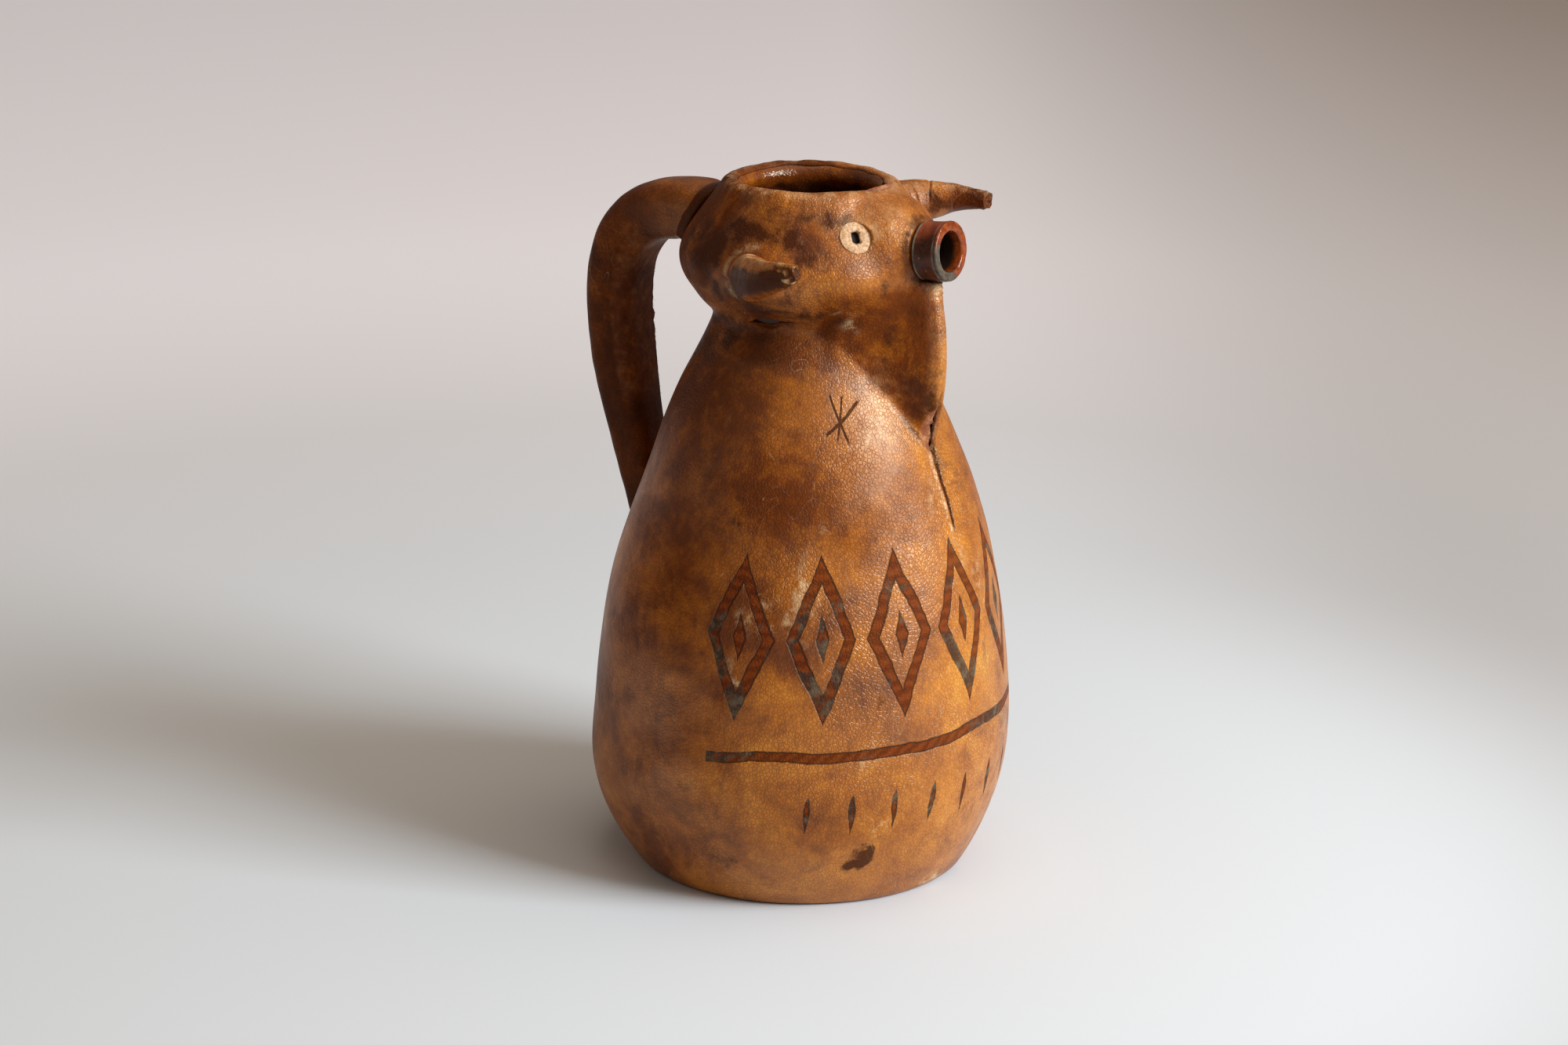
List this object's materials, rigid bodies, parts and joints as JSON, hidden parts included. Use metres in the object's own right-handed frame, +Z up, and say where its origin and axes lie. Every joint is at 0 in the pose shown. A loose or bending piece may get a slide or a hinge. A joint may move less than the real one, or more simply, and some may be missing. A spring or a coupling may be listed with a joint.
{
  "type": "leather-covered pitcher",
  "caption": "Free-standing round pitcher in the form of a horned animal: a glazed earthenware jug covered with formed leather, with a top mouth, a snout spout and a loop handle.",
  "frame": {"origin": "the jug's axis in the plane that it stands on, at the middle of the sole's underside", "axes": "+Z up along the jug's axis, +X towards the spout, -X towards the handle, +Y to the animal's left"},
  "size_m": [0.1813, 0.161, 0.2674],
  "materials": {
    "glazed_clay": "glossy orange-red glaze",
    "amber_hide": "mottled, satin, grained",
    "dark_hide": "dark, worn",
    "pale_hide": "raw, matt",
    "peg_wood": "raw"
  },
  "bodies": {
    "root": {"earthenware_jug": "glazed_clay", "spout_tube": "glazed_clay", "handle_core": "glazed_clay", "body_cover": "amber_hide", "head_cover": "amber_hide", "mouth_lining": "amber_hide", "handle_wrap": "amber_hide", "horn_wrap_left": "amber_hide", "horn_wrap_right": "amber_hide", "base_sole": "dark_hide", "spout_collar": "dark_hide", "eye_inlay_left": "pale_hide", "eye_inlay_right": "pale_hide", "horn_core_left": "peg_wood", "horn_core_right": "peg_wood"}
  },
  "joints": []
}
